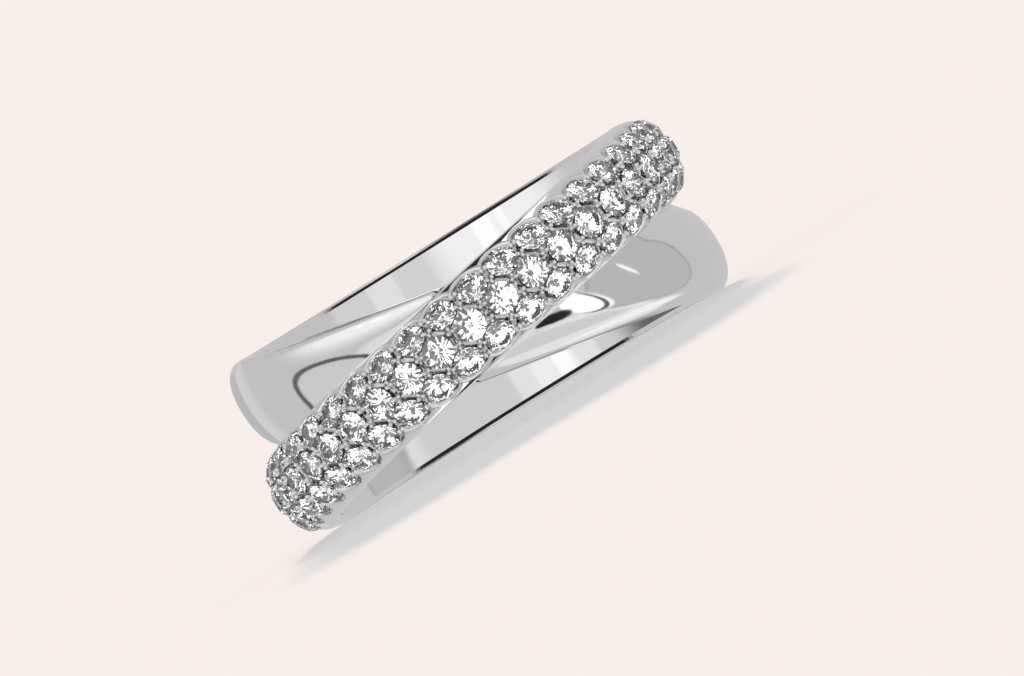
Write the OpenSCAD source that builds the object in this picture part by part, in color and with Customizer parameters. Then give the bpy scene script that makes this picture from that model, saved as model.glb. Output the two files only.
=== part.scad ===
// Crossover ring: a stone-set band and a plain band that cross at the front and
// run together into one wide plain shank behind. Millimetres.
// The finger hole's axis is Z, and the crossing faces -Y. Angles run round the ring
// from the crossing, so 90 is the right side and 180 the back.

/* [Finger] */
// Radius of the finger hole
bore_r = 8.65; // [8.2:0.05:9.6]
// Width of the ring behind, from rim to rim
ring_w = 7.9; // [7.6:0.1:8.4]
// Size of the bevel along the hole's edges
bore_bevel = 0.15; // [0.1:0.01:0.2]

/* [Bands] */
// Width of the stone-set band where the bands cross
stone_band_front_w = 3.6; // [3.5:0.05:3.9]
// Width of the stone-set band at the sides
stone_band_side_w = 3.96; // [3.9:0.02:4.1]
// Width of the plain band where the bands cross
plain_band_front_w = 4.12; // [4:0.05:4.4]
// Width of the plain band at the sides
plain_band_side_w = 3.96; // [3.9:0.02:4.1]
// How far the stone-set band swings from the middle plane
stone_sway = 2.1; // [1.95:0.05:2.2]
// How far the plain band swings the other way
plain_sway = 2.2; // [2.1:0.05:2.3]
// Height of the crossing above the middle plane; it fades out towards the back
crossing_lift = 0.25; // [0:0.01:0.3]
// Angle at which both bands have swung fully to the side
swing_angle = 116; // [110:1:120]

/* [Thicknesses] */
// Height of the rims above the hole, where every section starts
rim_t = 0.3; // [0.26:0.01:0.35]
// Height of the groove's bottom between the bands at the sides
web_t = 0.57; // [0.5:0.01:0.65]
// Thickness of the plain band where it passes under the stones
plain_front_t = 0.75; // [0.7:0.01:0.85]
// Thickness of the plain band where it joins the shank
plain_side_t = 1.65; // [1.5:0.05:1.7]
// Height at which the round top of the stone-set band starts
stone_foot_t = 0.4; // [0.35:0.01:0.45]
// Thickness of the stone-set band
stone_band_t = 1.95; // [1.9:0.01:2.1]
// Thickness of the shank at the back
shank_t = 1.4; // [1.2:0.05:1.6]

/* [Stones] */
// Diameter of each stone
stone_d = 1.28; // [1.1:0.01:1.28]
// Distance from stone to stone along a row
stone_pitch = 1.62; // [1.58:0.01:1.75]
// Angle, seen from the hole, at which the rows end
stone_reach = 98; // [60:1:99]
// Place of the outer rows on the round top: 0 at its foot, 90 at its crown
row_place = 51; // [49:1:52]
// Depth of a stone's widest part under the metal
stone_sink = 0.12; // [0.1:0.01:0.15]
// Gap between a stone and its seat
seat_gap = 0.025; // [0.02:0.005:0.03]

/* [Hidden] */

half_w = ring_w / 2;
rim_r = bore_r + rim_t;
web_r = bore_r + web_t;
foot_r = bore_r + stone_foot_t;
crown_r = bore_r + stone_band_t;
shank_r = bore_r + shank_t;
// The sweep's inner side lies inside the finger hole, which then cuts it away
core_r = bore_r - 0.5;

// Roundness of the plain sections: 2 is an ellipse, and more is squarer
plain_round = 2.3;
// The plain band thickens, and both bands melt into the shank, between these angles
thicken_from = 58;
thicken_to = 112;
melt_from = 102;
melt_to = 150;

// Sections round the ring, and steps across a plain flank and the round top
sections = 96;
flank_steps = 7;
top_steps = 12;
outline_points = 2 * flank_steps + top_steps + 1;

// A round brilliant's proportions, as shares of its diameter
table_share = 0.56;
crown_share = 0.15;
girdle_share = 0.03;
pavilion_share = 0.43;
stone_sides = 8;

pitch_angle = stone_pitch / crown_r * 180 / PI;
pitches = floor(stone_reach / pitch_angle);

function mix(a, b, share) = a + (b - a) * share;
function clip(x, low, high) = max(low, min(high, x));
function ramp(x, from, to) =
    let (share = clip((x - from) / (to - from), 0, 1))
    share * share * (3 - 2 * share);
function point(r, z, angle) = [r * sin(angle), -r * cos(angle), z];

// Middle lines and edges of the two bands; side is 1 for the upper edge, -1 for the lower
function swing(angle) = sign(angle) * sin(90 * min(abs(angle) / swing_angle, 1));
function lift(angle) = crossing_lift * (1 + cos(angle)) / 2;
function side_share(angle) = min(pow(angle / 90, 2), 1);
function stone_edge(angle, side) =
    let (width = mix(stone_band_front_w, stone_band_side_w, side_share(angle)))
    clip(lift(angle) + stone_sway * swing(angle) + side * width / 2, -half_w, half_w);
function plain_edge(angle, side) =
    let (width = mix(plain_band_front_w, plain_band_side_w, side_share(angle)))
    clip(lift(angle) - plain_sway * swing(angle) + side * width / 2, -half_w, half_w);
function stone_mid(angle) = (stone_edge(angle, 1) + stone_edge(angle, -1)) / 2;
function stone_half(angle) = (stone_edge(angle, 1) - stone_edge(angle, -1)) / 2;

// Radius of the plain band's surface at the height z
function plain_r(angle, z) =
    let (
        low = plain_edge(angle, -1),
        high = plain_edge(angle, 1),
        off_mid = min(abs(2 * z - low - high) / (high - low), 1),
        thick = mix(plain_front_t, plain_side_t, ramp(abs(angle), thicken_from, thicken_to))
    )
    mix(rim_r, bore_r + thick, pow(1 - pow(off_mid, plain_round), 1 / plain_round));

// Point [radius, z] of the stone-set band's round top, from 0 at its lower edge to 180
function top_point(angle, turn) = [
    mix(foot_r, crown_r, sin(turn)),
    stone_mid(angle) - stone_half(angle) * cos(turn)
];
// Turn at which the round top rises out of the plain band or of the groove
function foot_turn(angle, side) =
    let (surface = max(web_r, plain_r(angle, stone_edge(angle, side))))
    asin((surface - foot_r) / (crown_r - foot_r));

// Plain flank, from the rim to the foot of the stone-set band. Where no plain metal
// shows beside that band, the flank is the band's upright side wall.
function flank(angle, side) =
    let (
        rim_z = side * max(side * plain_edge(angle, side), side * stone_edge(angle, side)),
        turn = foot_turn(angle, side),
        foot = top_point(angle, side > 0 ? 180 - turn : turn)
    )
    [for (i = [0 : flank_steps - 1])
        let (
            share = i / flank_steps,
            z = mix(rim_z, foot[1], 1 - cos(90 * share))
        )
        [max(plain_r(angle, z), mix(rim_r, foot[0], share)), z]];

// Outline of the two bands at an angle, from the lower rim to the upper one
function bands_outline(angle) =
    let (
        low = flank(angle, -1),
        high = flank(angle, 1),
        first = foot_turn(angle, -1),
        last = 180 - foot_turn(angle, 1)
    )
    concat(
        low,
        [for (i = [0 : top_steps]) top_point(angle, mix(first, last, i / top_steps))],
        [for (i = [flank_steps - 1 : -1 : 0]) high[i]]
    );

// Outline of the shank: one low dome over the whole width
function shank_point(i) =
    let (
        turn = 180 * i / (outline_points - 1),
        power = 2 / plain_round
    )
    [
        mix(rim_r, shank_r, pow(max(sin(turn), 0), power)),
        -half_w * sign(cos(turn)) * pow(abs(cos(turn)), power)
    ];

// Closed section at an angle: the outline, closed along the core inside the hole
function section(angle) =
    let (
        bands = bands_outline(angle),
        melted = ramp(abs(angle), melt_from, melt_to),
        outline = [for (i = [0 : outline_points - 1]) mix(bands[i], shank_point(i), melted)]
    )
    concat([[core_r, outline[0][1]]], outline, [[core_r, outline[outline_points - 1][1]]]);

// Ring of metal before it is drilled: the section swept round the finger
module swept_metal() {
    count = outline_points + 2;
    angles = [for (k = [0 : sections - 1]) -180 + 360 * k / sections];
    points = [for (angle = angles) for (p = section(angle)) point(p[0], p[1], angle)];
    faces = [for (k = [0 : sections - 1]) for (i = [0 : count - 1])
        let (
            here = k * count,
            next = (k + 1) % sections * count,
            j = (i + 1) % count
        )
        each [[here + i, next + j, next + i], [here + i, here + j, next + j]]];
    polyhedron(points, faces);
}

// Finger hole with a bevel at both ends
module finger_hole() {
    over = 1;
    flare = bore_r + bore_bevel + over;
    straight = half_w - bore_bevel;
    rotate_extrude($fn = 180)
        polygon([
            [0, -half_w - over],
            [flare, -half_w - over],
            [bore_r, -straight],
            [bore_r, straight],
            [flare, half_w + over],
            [0, half_w + over]
        ]);
}

// Puts its children on the stone-set band, their Z axis square to the metal.
// row is -1 for the lower row, 0 for the middle one and 1 for the upper one.
module on_stone_band(angle, row) {
    p = top_point(angle, 90 + row * (90 - row_place));
    off_mid = p[1] - stone_mid(angle);
    rise = (p[0] - foot_r) / pow(crown_r - foot_r, 2);
    tilt = atan2(off_mid / pow(stone_half(angle), 2), rise);
    climb = (stone_mid(angle + 1) - stone_mid(angle - 1)) / (2 * PI / 180);
    rotate([0, 0, angle])
        translate([0, -p[0], p[1]])
            rotate([90, 0, 0])
                rotate([0, 0, atan2(climb, p[0])])
                    rotate([-tilt, 0, 0])
                        children();
}

// Every place of a stone: outer rows in step, and the middle row half a pitch on
module each_stone() {
    for (k = [-pitches : pitches])
        for (row = [-1, 1])
            on_stone_band(k * pitch_angle, row) children();
    for (k = [-pitches : pitches - 1])
        on_stone_band((k + 0.5) * pitch_angle, 0) children();
}

// Round brilliant, its widest part under the metal's surface
module stone() {
    girdle = girdle_share * stone_d / 2;
    translate([0, 0, -stone_sink])
        rotate_extrude($fn = stone_sides)
            polygon([
                [0, -girdle - pavilion_share * stone_d],
                [stone_d / 2, -girdle],
                [stone_d / 2, girdle],
                [table_share * stone_d / 2, girdle + crown_share * stone_d],
                [0, girdle + crown_share * stone_d]
            ]);
}

// Seat for one stone: its lower half and a little more, open to the outside
module seat() {
    girdle = girdle_share * stone_d / 2;
    seat_r = stone_d / 2 + seat_gap;
    translate([0, 0, -stone_sink])
        rotate_extrude($fn = stone_sides)
            polygon([
                [0, -girdle - pavilion_share * stone_d - 2 * seat_gap],
                [seat_r, -girdle - seat_gap],
                [seat_r, stone_d / 2],
                [0, stone_d / 2]
            ]);
}

module crossover_band() {
    color("gainsboro")
        difference() {
            swept_metal();
            finger_hole();
            each_stone() seat();
        }
}

module pave_stones() {
    color("azure")
        each_stone() stone();
}

crossover_band();
pave_stones();
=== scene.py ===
import math

import bpy
import numpy as np
from mathutils import Matrix, Vector


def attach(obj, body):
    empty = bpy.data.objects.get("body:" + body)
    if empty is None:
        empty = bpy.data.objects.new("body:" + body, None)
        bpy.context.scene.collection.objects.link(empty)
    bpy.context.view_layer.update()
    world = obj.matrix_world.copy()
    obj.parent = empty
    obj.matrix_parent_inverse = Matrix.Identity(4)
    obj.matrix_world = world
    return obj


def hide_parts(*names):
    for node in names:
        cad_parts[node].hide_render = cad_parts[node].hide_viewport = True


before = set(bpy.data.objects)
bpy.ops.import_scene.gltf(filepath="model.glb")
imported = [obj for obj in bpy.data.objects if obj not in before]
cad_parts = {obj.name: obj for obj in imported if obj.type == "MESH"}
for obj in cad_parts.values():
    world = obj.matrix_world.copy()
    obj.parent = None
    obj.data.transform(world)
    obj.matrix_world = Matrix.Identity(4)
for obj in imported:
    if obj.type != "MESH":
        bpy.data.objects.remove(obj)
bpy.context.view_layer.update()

# Lengths are in millimetres until a mesh is made, and angles in degrees. Angles run round
# the ring from the crossing, which faces -Y, so 90 is the right side and 180 the back.
MM = 0.001

# The ring, as in the part's source
BORE_R = 8.65
RING_W = 7.9
HALF_W = RING_W / 2
STONE_BAND_FRONT_W = 3.6
STONE_BAND_SIDE_W = 3.96
PLAIN_BAND_FRONT_W = 4.12
PLAIN_BAND_SIDE_W = 3.96
STONE_SWAY = 2.1
PLAIN_SWAY = 2.2
CROSSING_LIFT = 0.25
SWING_ANGLE = 116
RIM_R = BORE_R + 0.3
WEB_R = BORE_R + 0.57
FOOT_R = BORE_R + 0.4
CROWN_R = BORE_R + 1.95
SHANK_R = BORE_R + 1.4
PLAIN_FRONT_T = 0.75
PLAIN_SIDE_T = 1.65
PLAIN_ROUND = 2.3
THICKEN_FROM, THICKEN_TO = 58, 112
MELT_FROM, MELT_TO = 102, 150

# The metal drops a little from each rim to the finger hole's bevel, which is as wide as the
# photograph shows it. The part has no such drop, and its bevels are both 0.15.
RIM_DROP = 0.08
UPPER_BEVEL, LOWER_BEVEL = 0.12, 0.15

# The stones, as in the part's source
STONE_D = 1.28
STONE_R = STONE_D / 2
STONE_PITCH = 1.62
STONE_REACH = 98
ROW_PLACE = 51
STONE_SINK = 0.12
TABLE_SHARE = 0.56
CROWN_SHARE = 0.15
GIRDLE_SHARE = 0.03
PAVILION_SHARE = 0.43
PITCH_ANGLE = math.degrees(STONE_PITCH / CROWN_R)
PITCHES = math.floor(STONE_REACH / PITCH_ANGLE)

# Facets that the part's stones don't have, as shares: how far out and down between table and
# girdle the star facets end, and how far out and down the pavilion its lower facets start
STAR_OUT, STAR_DOWN = 0.5, 0.42
LOWER_OUT, LOWER_DOWN = 0.2, 0.8
SPIN_SEED = 7

# Metal between the stones: lanes, and a cone under each stone, whose sides slope between two
# distances from the stone's edge. A stone's cuts reach this far along its axis at most.
LANE_DEPTH = 0.2
LANE_FROM, LANE_TO = 0.1, 0.24
SEAT_DEPTH = 0.55
SEAT_FROM, SEAT_TO = -0.06, 0.03
CUT_REACH = 1

# Grains left standing there, in groups: a grain's size, the depth of its foot and its distance
# from the group's middle, then the groups' places between the stone rows, and how far the
# directions to the stones beside a group lean, inside the field and along its edges
GRAIN_R = 0.12
GRAIN_H = 0.27
GRAIN_FOOT = 0.2
GRAIN_OFF = 0.125
GRAIN_ROWS = (0.27, 0.73, 1.3)
GRAIN_LEAN, GRAIN_EDGE_LEAN = 22, 35

# Fineness of the meshes: angles from section to section among the stones and elsewhere, where
# the fine ones end, and the steps across a flank, the round top and a grain. Edges that turn
# by more than the last angle look sharp.
FIELD_STEP = 0.36
PLAIN_STEP = 1.6
FIELD_END = 103
FLANK_STEPS = 18
TOP_STEPS = 84
GRAIN_RINGS, GRAIN_SIDES = 4, 10
SHARP_ANGLE = 40

# The metal's material slots
OUTSIDE, WALL, BEVEL = 0, 1, 2

# Photograph: its size, the ring's middle in it, its scale and the tilt of the ring in it
PHOTO_W, PHOTO_H = 1024, 676
RING_X, RING_Y = 477.4, 327.9
PX_PER_MM = 24.74
ROLL = 32

# Camera: its place, its sensor's width, and the nearest and farthest that it sees, in metres
AZIMUTH = 5.1
ELEVATION = 1.0
DISTANCE = 220.0
SENSOR_W = 36
CLIP_NEAR, CLIP_FAR = 0.001, 10

# Studio: the light of its walls, then its soft oval panels as azimuth, elevation, half
# width, half height, tilt, softness as a share of the half sizes, and light. Azimuth 0 is
# where the crossing faces, and 90 is its right. Each panel lies over those before it.
BASE_LIGHT = 0.6
PANELS = [
    (-35, 38, 30, 10, 15, 1.5, 1.0),
    (50, -34, 48, 22, 0, 0.25, 0.87),
    (75, -33, 34, 5.2, 16, 0.45, 1.0),
    (-8, 0, 45, 14, 0, 0.2, 0.8),
    (66, 38, 14, 9, 0, 0.3, 0.72),
    (43, 38, 9, 9, 0, 0.2, 0.85),
    (22, 38, 11, 9, 0, 0.1, 0.73),
    (-31, 37, 5, 3, 0, 0.6, 1.14),
    (-44.3, 36, 2, 3, 0, 0.6, 1.12),
    (5, -20, 62, 6.5, 0, 0.3, 0.7),
    (-22, -20, 25, 6.5, 0, 0.15, 0.87),
    (-21, -20, 12, 6.5, 0, 0.2, 0.98),
    (-26, -20, 4.5, 6, 0, 0.2, 1.12),
    (-112, -17, 30, 5, 0, 0.7, 0.15),
    (-72, 0, 27, 8.6, 0, 0.08, 0.12),
    (-72, 0, 23.5, 6.6, 0, 0.1, 0.67),
    (88, -7, 31, 9.8, 0, 0.03, 0.42),
    (101, -5.5, 22, 12.1, 0, 0.03, 0.42),
    (88, -7, 30, 9, 0, 0.03, 0.53),
    (101, -5.5, 21, 11.3, 0, 0.03, 0.53),
    (90, -0.9, 4.2, 0.5, -21, 0.4, 1.1),
    (59.4, -7.2, 11, 4.4, -18, 0.22, 1.1),
    (57.5, -7.2, 11, 5, -18, 0.06, 0.12),
    (55, -6.4, 10.5, 4.4, -18, 0.1, 1.25),
    (38, -7.5, 10, 2.6, 0, 0.15, 0.02),
]

# Parts of the studio that metal of a certain azimuth and tilt mirrors, written the same way:
# a grey one for the plain band's rim, a dark and a bright one for each lip of the stone-set
# band, two for the ring's left edge, and dark ones for the bevels of the finger hole
MIRRORED = [
    (-30, 40, 30, 10, 0, 0.8, 0.58),
    (-7, 66, 13, 9, 0, 0.2, 0.03),
    (11, 62, 6, 12, 0, 0.2, 1.3),
    (24, -64, 8, 9, 0, 0.2, 0.03),
    (11, -62, 3.5, 12, 0, 0.2, 1.3),
    (-67, 0, 1.5, 30, 0, 2.5, 0.69),
    (-79, 0, 9.5, 30, 0, 0.08, 0.52),
    (0, 45, 40, 2.6, 0, 0.15, 0.02),
    (6, -45, 35, 2.6, 0, 0.15, 0.02),
]

# What the light through the stones meets instead: cells, each dark or bright as its random
# colour lies under or over a level
SPARKLE_SCALE = 3
SPARKLE_LEVEL = 0.57
SPARKLE_DARK, SPARKLE_BRIGHT = 0.14, 2.08

# What the camera sees behind the ring, and a floor that looks the same where it is lit. The
# floor's half width is in metres.
BACKDROP = (0.939, 0.863, 0.823, 1)
FLOOR_HALF = 3.0
FLOOR_GREY = 0.3
FLOOR_GLOW = 0.4805

# Suns behind the ring, which throw its shadow to the front
SUN_POWER = 9.77
SUN_COLOUR = (1, 0.72, 0.573)
SUN_ANGLE = 6
SUN_AZIMUTHS = (183, 185, 187)
SUN_ELEVATION = 17

# The metal's colours: two that drift into each other, and a darker one painted into the lanes
# among the stones as shade
TINTS = ((0.86, 0.86, 0.865, 1), (0.88, 0.88, 0.885, 1))
LANE_SHADE_COLOUR = (0.6, 0.6, 0.61, 1)

# Its least and most roughness outside, on the finger hole's wall and on the bevels
OUTER_ROUGHNESS = (0.03, 0.07)
WALL_ROUGHNESS = (0.05, 0.09)
BEVEL_ROUGHNESS = (0.03, 0.05)

# The shank's polish grows softer behind, between these two places, by this much roughness
SOFT_FROM, SOFT_TO = 1.5, 6.5
SOFT_BACK = 0.17

# Drift of colour and roughness, and fine unevenness, each with its noise's scale and detail.
# The drift's noise counts as 0 and 1 at two levels, and the unevenness is in metres.
DRIFT_SCALE, DRIFT_DETAIL = 260, 3
DRIFT_LEVELS = (0.3, 0.7)
UNEVEN_SCALE, UNEVEN_DETAIL = 4000, 4
UNEVEN_STRENGTH, UNEVEN_HEIGHT = 0.02, 0.00002

# Slopes of the finger hole's wall towards its upper and lower edge, as they show, and half
# the height of the rounding between them
WALL_SLOPES = (0.36, 0.17)
WALL_ROUND = 0.5

STONE_IOR = 2.4


def mix(a, b, share):
    return a + (b - a) * share


def ramp(x, start, end):
    share = np.clip((x - start) / (end - start), 0, 1)
    return share * share * (3 - 2 * share)


def sind(a):
    return np.sin(np.radians(a))


def cosd(a):
    return np.cos(np.radians(a))


# The ring's form


def swing(angle):
    return np.sign(angle) * sind(90 * np.minimum(abs(angle) / SWING_ANGLE, 1))


def lift(angle):
    return CROSSING_LIFT * (1 + cosd(angle)) / 2


def side_share(angle):
    return np.minimum((angle / 90) ** 2, 1)


def stone_edge(angle, side):
    width = mix(STONE_BAND_FRONT_W, STONE_BAND_SIDE_W, side_share(angle))
    edge = lift(angle) + STONE_SWAY * swing(angle) + side * width / 2
    return np.clip(edge, -HALF_W, HALF_W)


def plain_edge(angle, side):
    width = mix(PLAIN_BAND_FRONT_W, PLAIN_BAND_SIDE_W, side_share(angle))
    edge = lift(angle) - PLAIN_SWAY * swing(angle) + side * width / 2
    return np.clip(edge, -HALF_W, HALF_W)


def stone_mid(angle):
    return (stone_edge(angle, 1) + stone_edge(angle, -1)) / 2


def stone_half(angle):
    return (stone_edge(angle, 1) - stone_edge(angle, -1)) / 2


def plain_r(angle, z):
    """Radius of the plain band's surface at the height z."""
    low, high = plain_edge(angle, -1), plain_edge(angle, 1)
    off_mid = np.minimum(abs(2 * z - low - high) / (high - low), 1)
    thick = mix(PLAIN_FRONT_T, PLAIN_SIDE_T, ramp(abs(angle), THICKEN_FROM, THICKEN_TO))
    dome = (1 - off_mid ** PLAIN_ROUND) ** (1 / PLAIN_ROUND)
    return mix(RIM_R, BORE_R + thick, dome)


def top_point(angle, turn):
    """Radius and height of the stone-set band's round top, from 0 at its lower edge to 180."""
    r = mix(FOOT_R, CROWN_R, sind(turn))
    z = stone_mid(angle) - stone_half(angle) * cosd(turn)
    return r, z


def foot_turn(angle, side):
    surface = np.maximum(WEB_R, plain_r(angle, stone_edge(angle, side)))
    return np.degrees(np.arcsin((surface - FOOT_R) / (CROWN_R - FOOT_R)))


def flank(angle, side):
    """The section's stretch from a rim to the foot of the stone-set band, a column a step."""
    rim_z = side * np.maximum(side * plain_edge(angle, side), side * stone_edge(angle, side))
    turn = foot_turn(angle, side)
    foot_r, foot_z = top_point(angle, 180 - turn if side > 0 else turn)
    columns = []
    for i in range(FLANK_STEPS):
        share = i / FLANK_STEPS
        z = mix(rim_z, foot_z, 1 - cosd(90 * share))
        columns.append((np.maximum(plain_r(angle, z), mix(RIM_R, foot_r, share)), z))
    return columns


def outline(angle):
    """Columns of the section's outside, from the lower rim to the upper one."""
    first, last = foot_turn(angle, -1), 180 - foot_turn(angle, 1)
    turns = [mix(first, last, i / TOP_STEPS) for i in range(TOP_STEPS + 1)]
    bands = flank(angle, -1) + [top_point(angle, t) for t in turns] + flank(angle, 1)[::-1]
    melted = ramp(abs(angle), MELT_FROM, MELT_TO)
    power = 2 / PLAIN_ROUND
    columns = []
    for i, (r, z) in enumerate(bands):
        turn = 180 * i / (len(bands) - 1)
        shank_r = mix(RIM_R, SHANK_R, max(sind(turn), 0) ** power)
        shank_z = -HALF_W * np.sign(cosd(turn)) * abs(cosd(turn)) ** power
        columns.append((mix(r, shank_r, melted), mix(z, shank_z, melted)))
    return columns


def inner_edge(rim_z, side):
    """Columns from a rim to the finger hole's wall: the end of the rim's slope, then a bevel."""
    top = rim_z - side * RIM_DROP
    bevel = UPPER_BEVEL if side > 0 else LOWER_BEVEL
    start = (np.full_like(rim_z, BORE_R + bevel), top)
    end = (np.full_like(rim_z, BORE_R), top - side * bevel)
    return [start, end]


# The stones' places


def stone_places():
    """The stones' places on the metal: two outer rows, and a middle one half a pitch on."""
    spots = []
    for k in range(-PITCHES, PITCHES + 1):
        spots += [(k * PITCH_ANGLE, -1), (k * PITCH_ANGLE, 1)]
    for k in range(-PITCHES, PITCHES):
        spots.append(((k + 0.5) * PITCH_ANGLE, 0))
    return [stone_frame(angle, row) for angle, row in spots]


def stone_frame(angle, row):
    """A place on the round top as a matrix: X along the band, and Z square to the metal."""
    r, z = top_point(angle, 90 + row * (90 - ROW_PLACE))
    off_mid = z - stone_mid(angle)
    rise = (r - FOOT_R) / (CROWN_R - FOOT_R) ** 2
    tilt = math.atan2(off_mid / stone_half(angle) ** 2, rise)
    climb = (stone_mid(angle + 1) - stone_mid(angle - 1)) / (2 * math.pi / 180)
    return (
        Matrix.Rotation(math.radians(angle), 4, "Z")
        @ Matrix.Translation((0, -r, z))
        @ Matrix.Rotation(math.pi / 2, 4, "X")
        @ Matrix.Rotation(math.atan2(climb, r), 4, "Z")
        @ Matrix.Rotation(-tilt, 4, "X")
    )


# Meshes


def make_object(name, verts, faces):
    mesh = bpy.data.meshes.new(name)
    mesh.from_pydata([tuple(v) for v in verts], [], faces)
    mesh.validate()
    obj = bpy.data.objects.new(name, mesh)
    bpy.context.scene.collection.objects.link(obj)
    return obj


def cut_field(points, outward, places):
    """Lowers the metal among the stones. Returns its points, and how far each is in a lane."""
    nearest = np.full(len(points), np.inf)
    for place in places:
        centre, axis = np.array(place.translation), np.array(place.col[2][:3])
        offset = points - centre
        along = offset @ axis
        across = np.sqrt(np.maximum((offset ** 2).sum(1) - along ** 2, 0))
        nearest = np.where(abs(along) < CUT_REACH, np.minimum(nearest, across), nearest)
    lane = 1 - ramp(nearest, STONE_R + LANE_FROM, STONE_R + LANE_TO)
    seat = 1 - ramp(nearest, STONE_R + SEAT_FROM, STONE_R + SEAT_TO)
    cone = np.clip((STONE_R - nearest) / STONE_R, 0, 1)
    depth = LANE_DEPTH * lane + seat * SEAT_DEPTH * cone
    return points - outward * depth[:, None], lane


def build_metal(places):
    """The whole band as one closed skin, a section swept round the finger hole."""
    field = np.arange(-FIELD_END, FIELD_END + FIELD_STEP / 2, FIELD_STEP)
    back = np.arange(field[-1] + PLAIN_STEP, 360 + field[0] - PLAIN_STEP / 2, PLAIN_STEP)
    back = np.where(back > 180, back - 360, back)
    angles = np.concatenate([field, back])
    outside = outline(angles)
    below, above = inner_edge(outside[0][1], -1)[::-1], inner_edge(outside[-1][1], 1)
    columns = below + outside + above
    r = np.array([c[0] for c in columns]).T
    z = np.array([c[1] for c in columns]).T
    turn = angles[:, None]
    grid = np.stack([r * sind(turn), -r * cosd(turn), z], -1)

    rows, start = len(field), len(below) + FLANK_STEPS
    top = slice(start, start + TOP_STEPS + 1)
    patch = grid[:rows, top]
    outward = np.cross(np.gradient(patch, axis=0), np.gradient(patch, axis=1))
    outward /= np.linalg.norm(outward, axis=-1, keepdims=True)
    flat, lane = cut_field(patch.reshape(-1, 3), outward.reshape(-1, 3), places)
    grid[:rows, top] = flat.reshape(patch.shape)
    # How far each point lies in a lane, kept so that the material paints shade into the lanes
    lane_shade = np.zeros(grid.shape[:2])
    lane_shade[:rows, top] = lane.reshape(patch.shape[:2])

    count, wide = grid.shape[:2]
    faces = []
    for a in range(count):
        b = (a + 1) % count
        for i in range(wide):
            j = (i + 1) % wide
            faces.append((a * wide + i, b * wide + i, b * wide + j, a * wide + j))
    # The last strip of faces closes the section along the finger hole, from bevel to bevel
    strip = np.tile(np.arange(wide), count)
    bevels = (strip == 0) | (strip == wide - 2)
    slots = np.select([bevels, strip == wide - 1], [BEVEL, WALL], OUTSIDE)
    metal = make_object("crossover_band_metal", grid.reshape(-1, 3) * MM, faces)
    metal.data.attributes.new("lane_shade", "FLOAT", "POINT").data.foreach_set("value", lane_shade.ravel())
    metal.data.polygons.foreach_set("material_index", slots)
    metal.data.shade_smooth()
    metal.data.set_sharp_from_angle(angle=math.radians(SHARP_ANGLE))
    metal.data.polygons.foreach_set("use_smooth", ~bevels)
    return metal


def brilliant():
    """Points and faces of a round brilliant in millimetres, its girdle's middle at zero."""
    girdle = GIRDLE_SHARE * STONE_R
    table_r = TABLE_SHARE * STONE_R
    table_z = girdle + CROWN_SHARE * STONE_D
    star_r = mix(table_r, STONE_R, STAR_OUT)
    star_z = mix(table_z, girdle, STAR_DOWN)
    lower_r = LOWER_OUT * STONE_R
    lower_z = -girdle - LOWER_DOWN * PAVILION_SHARE * STONE_D
    between = 360 / 16

    def ring(radius, height, count, first):
        turns = [first + 360 * i / count for i in range(count)]
        return [(radius * cosd(t), radius * sind(t), height) for t in turns]

    points = ring(table_r, table_z, 8, 0)
    points += ring(star_r, star_z, 8, between)
    points += ring(STONE_R, girdle, 16, 0)
    points += ring(STONE_R, -girdle, 16, 0)
    points += ring(lower_r, lower_z, 8, between)
    points.append((0, 0, -girdle - PAVILION_SHARE * STONE_D))
    table, star, upper, under, lower, culet = 0, 8, 16, 32, 48, 56
    faces = [tuple(table + i for i in range(8))]
    for i in range(8):
        n = (i + 1) % 8
        left, mid, right = 2 * i, 2 * i + 1, (2 * i + 2) % 16
        before = (2 * i - 1) % 16
        faces.append((table + i, star + i, table + n))
        faces.append((table + i, star + (i - 1) % 8, upper + left, star + i))
        faces.append((star + i, upper + left, upper + mid))
        faces.append((star + i, upper + mid, upper + right))
        faces.append((under + left, lower + i, under + mid))
        faces.append((under + mid, lower + i, under + right))
        faces.append((under + left, lower + (i - 1) % 8, culet, lower + i))
        faces.append((upper + left, under + left, under + mid, upper + mid))
        faces.append((upper + before, under + before, under + left, upper + left))
    return points, faces


def build_stones(places):
    """All the stones as one mesh, each turned about its axis by a chance amount."""
    points, faces = brilliant()
    chance = np.random.default_rng(SPIN_SEED)
    verts, polys = [], []
    for place in places:
        spin = Matrix.Rotation(chance.uniform(0, math.pi / 4), 4, "Z")
        sink = Matrix.Translation((0, 0, -STONE_SINK))
        base = len(verts)
        verts += [tuple(MM * x for x in place @ spin @ sink @ Vector(p)) for p in points]
        polys += [tuple(base + i for i in f) for f in faces]
    return make_object("pave_stones_cut", verts, polys)


def grain_spots():
    """Middles of the groups of grains, with the directions from each to the stones it holds."""
    inner, outer, edge = GRAIN_ROWS
    spots = []
    for k in range(-PITCHES, PITCHES + 1):
        beside, between = k * PITCH_ANGLE, (k + 0.5) * PITCH_ANGLE
        for side in (-1, 1):
            lean, edge_lean = side * GRAIN_LEAN, side * GRAIN_EDGE_LEAN
            spots.append((beside, side * inner, (90 * side, -lean, 180 + lean)))
            if k < PITCHES:
                spots.append((between, side * outer, (-90 * side, lean, 180 - lean)))
                spots.append((between, side * edge, (-edge_lean, 180 + edge_lean)))
    return spots


def build_grains():
    """Small domes of metal at the stones' edges, each a closed mesh."""
    verts, polys = [], []
    for angle, row, turns in grain_spots():
        place = stone_frame(angle, row)
        for turn in turns:
            base = len(verts)
            verts += grain_points(place, turn)
            polys += grain_faces(base)
    grains = make_object("setting_grains", verts, polys)
    grains.data.shade_smooth()
    return grains


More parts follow.
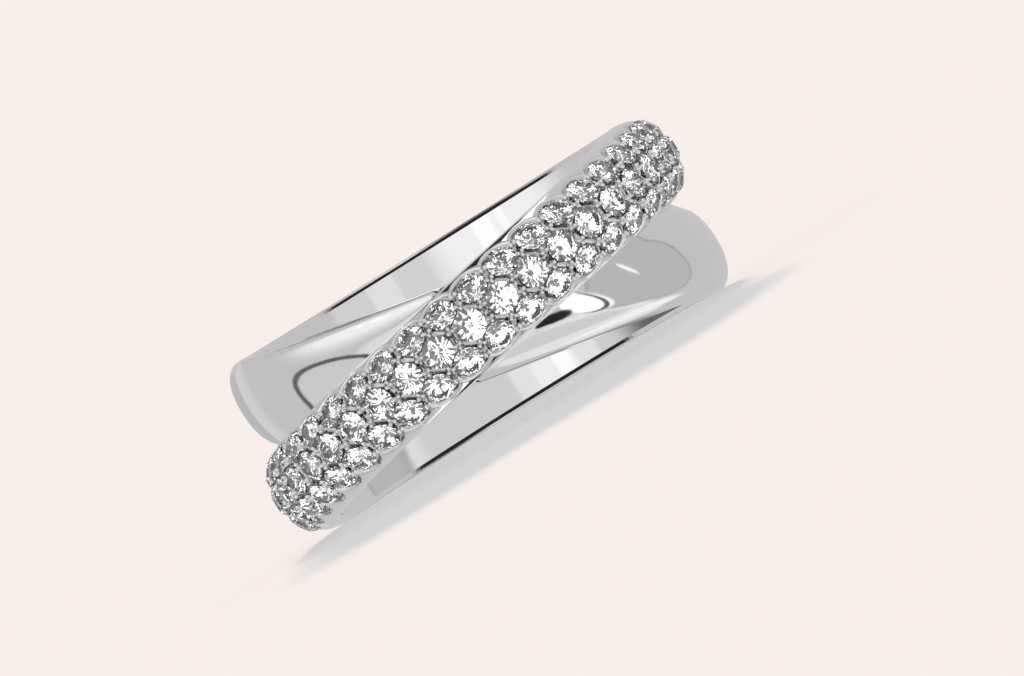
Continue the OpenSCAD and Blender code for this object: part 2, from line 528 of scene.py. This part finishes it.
def grain_points(place, turn):
    """A grain's points in metres: its rings from the foot up, its cap and its root."""
    middle = place @ Vector((GRAIN_OFF * cosd(turn), GRAIN_OFF * sind(turn), -GRAIN_FOOT))
    along, across, out = (Vector(place.col[i][:3]) for i in range(3))
    spots = []
    for i in range(GRAIN_RINGS):
        rise = 90 * i / GRAIN_RINGS
        radius, height = GRAIN_R * cosd(rise), GRAIN_H * sind(rise)
        for j in range(GRAIN_SIDES):
            a = 360 * j / GRAIN_SIDES
            spot = middle + along * (radius * cosd(a)) + across * (radius * sind(a))
            spots.append(spot + out * height)
    spots += [middle + out * GRAIN_H, middle - out * GRAIN_R]
    return [tuple(MM * x for x in spot) for spot in spots]


def grain_faces(base):
    """A grain's faces, where its points start at base."""
    faces = []
    for i in range(GRAIN_RINGS - 1):
        low, high = base + i * GRAIN_SIDES, base + (i + 1) * GRAIN_SIDES
        for j in range(GRAIN_SIDES):
            n = (j + 1) % GRAIN_SIDES
            faces.append((low + j, low + n, high + n, high + j))
    cap, root = base + GRAIN_RINGS * GRAIN_SIDES, base + GRAIN_RINGS * GRAIN_SIDES + 1
    last = base + (GRAIN_RINGS - 1) * GRAIN_SIDES
    for j in range(GRAIN_SIDES):
        n = (j + 1) % GRAIN_SIDES
        faces.append((last + j, last + n, cap))
        faces.append((base + n, base + j, root))
    return faces


# Shader nodes


def set_inputs(tree, node, inputs):
    """Gives each input its value, or a link where the value is another node's output."""
    for name, value in inputs.items():
        if isinstance(value, bpy.types.NodeSocket):
            tree.links.new(value, node.inputs[name])
        else:
            node.inputs[name].default_value = value


def add_node(tree, kind, inputs, **settings):
    node = tree.nodes.new("ShaderNode" + kind)
    for name, value in settings.items():
        setattr(node, name, value)
    set_inputs(tree, node, inputs)
    return node


def calculate(tree, operation, *values):
    return add_node(tree, "Math", dict(enumerate(values)), operation=operation).outputs[0]


def remap(tree, value, before, after, curve):
    """Turns the range before into the range after. What lies outside stays at its ends."""
    inputs = {"Value": value, "From Min": before[0], "From Max": before[1]}
    inputs |= {"To Min": after[0], "To Max": after[1]}
    return add_node(tree, "MapRange", inputs, interpolation_type=curve).outputs["Result"]


def mix_colours(tree, share, first, second):
    """A mix of two colours. The node has many more inputs, for its other kinds of data."""
    inputs = {0: share, 6: first, 7: second}
    return add_node(tree, "Mix", inputs, data_type="RGBA").outputs[2]


def noise(tree, scale, detail, vector):
    inputs = {"Scale": scale, "Detail": detail, "Vector": vector}
    return add_node(tree, "TexNoise", inputs).outputs["Fac"]


# Materials


def material(name):
    mat = bpy.data.materials.new(name)
    mat.use_nodes = True
    return mat, mat.node_tree, mat.node_tree.nodes["Principled BSDF"]


def polished_metal(name, roughness, back=0, slopes=None):
    """White metal, with shade painted darker into its lanes, and of a duller polish behind. slopes
    turn the look of the hole's wall.
    """
    mat, tree, shader = material(name)
    where = add_node(tree, "TexCoord", {}).outputs["Object"]
    split = add_node(tree, "SeparateXYZ", {0: where}).outputs
    drift = noise(tree, DRIFT_SCALE, DRIFT_DETAIL, where)
    # The lane share darkens the metal's colour: painted shade in the lanes among the stones
    lane_shade = add_node(tree, "Attribute", {}, attribute_name="lane_shade").outputs["Fac"]
    rough = remap(tree, drift, DRIFT_LEVELS, roughness, "LINEAR")
    if back:
        ends = (SOFT_FROM * MM, SOFT_TO * MM)
        softer = remap(tree, split["Y"], ends, (0, back), "SMOOTHSTEP")
        rough = calculate(tree, "ADD", rough, softer)
    uneven = {
        "Strength": UNEVEN_STRENGTH,
        "Distance": UNEVEN_HEIGHT,
        "Height": noise(tree, UNEVEN_SCALE, UNEVEN_DETAIL, where),
    }
    if slopes:
        uneven["Normal"] = sloping_wall(tree, split["Z"], slopes)
    set_inputs(tree, shader, {
        "Metallic": 1,
        "Base Color": mix_colours(tree, lane_shade, mix_colours(tree, drift, *TINTS), LANE_SHADE_COLOUR),
        "Roughness": rough,
        "Normal": add_node(tree, "Bump", uneven).outputs["Normal"],
    })
    return mat


def sloping_wall(tree, z, slopes):
    """The look of a wall that falls away from its middle, by one slope up and one down."""
    upper, lower = slopes
    squared = calculate(tree, "ADD", calculate(tree, "POWER", z, 2), (WALL_ROUND * MM) ** 2)
    off = calculate(tree, "POWER", squared, 0.5)
    fall = calculate(tree, "MULTIPLY", off, -(upper + lower) / 2)
    height = calculate(tree, "MULTIPLY_ADD", z, (lower - upper) / 2, fall)
    return add_node(tree, "Bump", {"Distance": 1, "Height": height}).outputs["Normal"]


def cut_stone():
    mat, tree, shader = material("clear_cut_stone")
    set_inputs(tree, shader, {
        "Base Color": (1, 1, 1, 1),
        "Transmission Weight": 1,
        "IOR": STONE_IOR,
        "Roughness": 0,
    })
    return mat


def floor_material():
    mat, tree, shader = material("pale_floor")
    set_inputs(tree, shader, {
        "Base Color": (FLOOR_GREY, FLOOR_GREY, FLOOR_GREY, 1),
        "Roughness": 1,
        "Specular IOR Level": 0,
        "Emission Color": (1, 1, 1, 1),
        "Emission Strength": FLOOR_GLOW,
    })
    return mat


# Stage, lights and camera


def direction(azimuth, elevation):
    """The unit vector towards a place round the ring, seen from its middle."""
    flat = cosd(elevation)
    return Vector((flat * sind(azimuth), -flat * cosd(azimuth), sind(elevation)))


def build_floor():
    size, z = FLOOR_HALF, -HALF_W * MM
    corners = [(-size, -size, z), (size, -size, z), (size, size, z), (-size, size, z)]
    floor = make_object("floor", corners, [(0, 1, 2, 3)])
    floor.data.materials.append(floor_material())
    floor.visible_glossy = floor.visible_transmission = False


def around_and_up(tree, vector):
    """The azimuth and the elevation, in degrees, of a unit vector."""
    x, y, z = add_node(tree, "SeparateXYZ", {0: vector}).outputs
    around = calculate(tree, "ARCTAN2", x, calculate(tree, "MULTIPLY", y, -1))
    up = calculate(tree, "ARCSINE", z)
    return [calculate(tree, "MULTIPLY", angle, 180 / math.pi) for angle in (around, up)]


def lay_panel(tree, level, place, panel):
    """The studio's light with one more panel over it."""
    azimuth, elevation, half_wide, half_tall, tilt, soft, light = panel
    across = calculate(tree, "SUBTRACT", place[0], azimuth)
    across = calculate(tree, "WRAP", across, 180, -180)
    rise = calculate(tree, "SUBTRACT", place[1], elevation)
    if tilt:
        cosine, sine = cosd(tilt), sind(tilt)
        aside = calculate(tree, "MULTIPLY", rise, sine)
        down = calculate(tree, "MULTIPLY", across, -sine)
        across = calculate(tree, "MULTIPLY_ADD", across, cosine, aside)
        rise = calculate(tree, "MULTIPLY_ADD", rise, cosine, down)
    wide = calculate(tree, "POWER", calculate(tree, "MULTIPLY", across, 1 / half_wide), 2)
    tall = calculate(tree, "POWER", calculate(tree, "MULTIPLY", rise, 1 / half_tall), 2)
    off = calculate(tree, "SQRT", calculate(tree, "ADD", wide, tall))
    share = remap(tree, off, (1, 1 + soft), (1, 0), "SMOOTHSTEP")
    return calculate(tree, "MULTIPLY_ADD", share, calculate(tree, "SUBTRACT", light, level), level)


def build_world():
    """The studio round the ring, as panels of soft light and shade in every direction."""
    world = bpy.data.worlds.new("studio")
    bpy.context.scene.world = world
    world.use_nodes = True
    tree = world.node_tree
    background = tree.nodes["Background"]

    towards = add_node(tree, "TexCoord", {}).outputs["Generated"]
    to_camera = {0: towards, 1: direction(AZIMUTH, ELEVATION)}
    middle = add_node(tree, "VectorMath", to_camera, operation="ADD").outputs[0]
    normal = add_node(tree, "VectorMath", {0: middle}, operation="NORMALIZE").outputs[0]
    level = BASE_LIGHT
    for vector, panels in ((towards, PANELS), (normal, MIRRORED)):
        place = around_and_up(tree, vector)
        for panel in panels:
            level = lay_panel(tree, level, place, panel)

    path = add_node(tree, "LightPath", {}).outputs
    cells = {"Scale": SPARKLE_SCALE, "Vector": towards}
    colour = add_node(tree, "TexVoronoi", cells).outputs["Color"]
    bright = calculate(tree, "GREATER_THAN", colour, SPARKLE_LEVEL)
    gain = SPARKLE_BRIGHT - SPARKLE_DARK
    sparkle = calculate(tree, "MULTIPLY_ADD", bright, gain, SPARKLE_DARK)
    through = calculate(tree, "SUBTRACT", sparkle, level)
    level = calculate(tree, "MULTIPLY_ADD", path["Is Transmission Ray"], through, level)

    set_inputs(tree, background, {"Color": level})
    backdrop = add_node(tree, "Background", {"Color": BACKDROP})
    choice = {0: path["Is Camera Ray"], 1: background.outputs[0], 2: backdrop.outputs[0]}
    seen = add_node(tree, "MixShader", choice).outputs[0]
    set_inputs(tree, tree.nodes["World Output"], {"Surface": seen})


def build_suns():
    """Low soft light from behind, which only the floor takes, for the shadow in front."""
    for azimuth in SUN_AZIMUTHS:
        data = bpy.data.lights.new("back_light", "SUN")
        data.energy = SUN_POWER / len(SUN_AZIMUTHS)
        data.color = SUN_COLOUR
        data.angle = math.radians(SUN_ANGLE)
        light = bpy.data.objects.new("back_light", data)
        towards = direction(azimuth, SUN_ELEVATION)
        light.rotation_euler = towards.to_track_quat("Z", "Y").to_euler()
        light.visible_glossy = light.visible_transmission = False
        bpy.context.scene.collection.objects.link(light)


def build_camera():
    """The camera, turned and shifted so that the ring lies where the photograph has it."""
    roll = math.radians(ROLL)
    back, level = direction(AZIMUTH, ELEVATION), direction(AZIMUTH + 90, 0)
    up = back.cross(level)
    right = math.cos(roll) * level - math.sin(roll) * up
    tall = math.sin(roll) * level + math.cos(roll) * up
    aim_x = (PHOTO_W / 2 - RING_X) / PX_PER_MM
    aim_y = (RING_Y - PHOTO_H / 2) / PX_PER_MM
    place = (aim_x * right + aim_y * tall + DISTANCE * back) * MM
    data = bpy.data.cameras.new("camera")
    data.sensor_width = SENSOR_W
    data.lens = SENSOR_W * DISTANCE * PX_PER_MM / PHOTO_W
    data.clip_start, data.clip_end = CLIP_NEAR, CLIP_FAR
    camera = bpy.data.objects.new("camera", data)
    rotation = Matrix((right, tall, back)).transposed().to_4x4()
    camera.matrix_world = Matrix.Translation(place) @ rotation
    bpy.context.scene.collection.objects.link(camera)
    bpy.context.scene.camera = camera


def dress(obj, looks, node):
    """Gives a piece its materials, hides the part of model.glb that it stands for, and hangs it on
    the root body.
    """
    for look in looks:
        obj.data.materials.append(look)
    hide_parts(node)
    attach(obj, "root")


places = stone_places()
outer_look = polished_metal("polished_white_metal", OUTER_ROUGHNESS, back=SOFT_BACK)
wall_look = polished_metal("worn_white_metal", WALL_ROUGHNESS, slopes=WALL_SLOPES)
bevel_look = polished_metal("bevelled_white_metal", BEVEL_ROUGHNESS)
looks = (outer_look, wall_look, bevel_look)
dress(build_metal(places), looks, "crossover_band")
dress(build_grains(), (outer_look,), "crossover_band")
dress(build_stones(places), (cut_stone(),), "pave_stones")
build_floor()
build_world()
build_suns()
build_camera()
bpy.context.scene.view_settings.view_transform = "Standard"
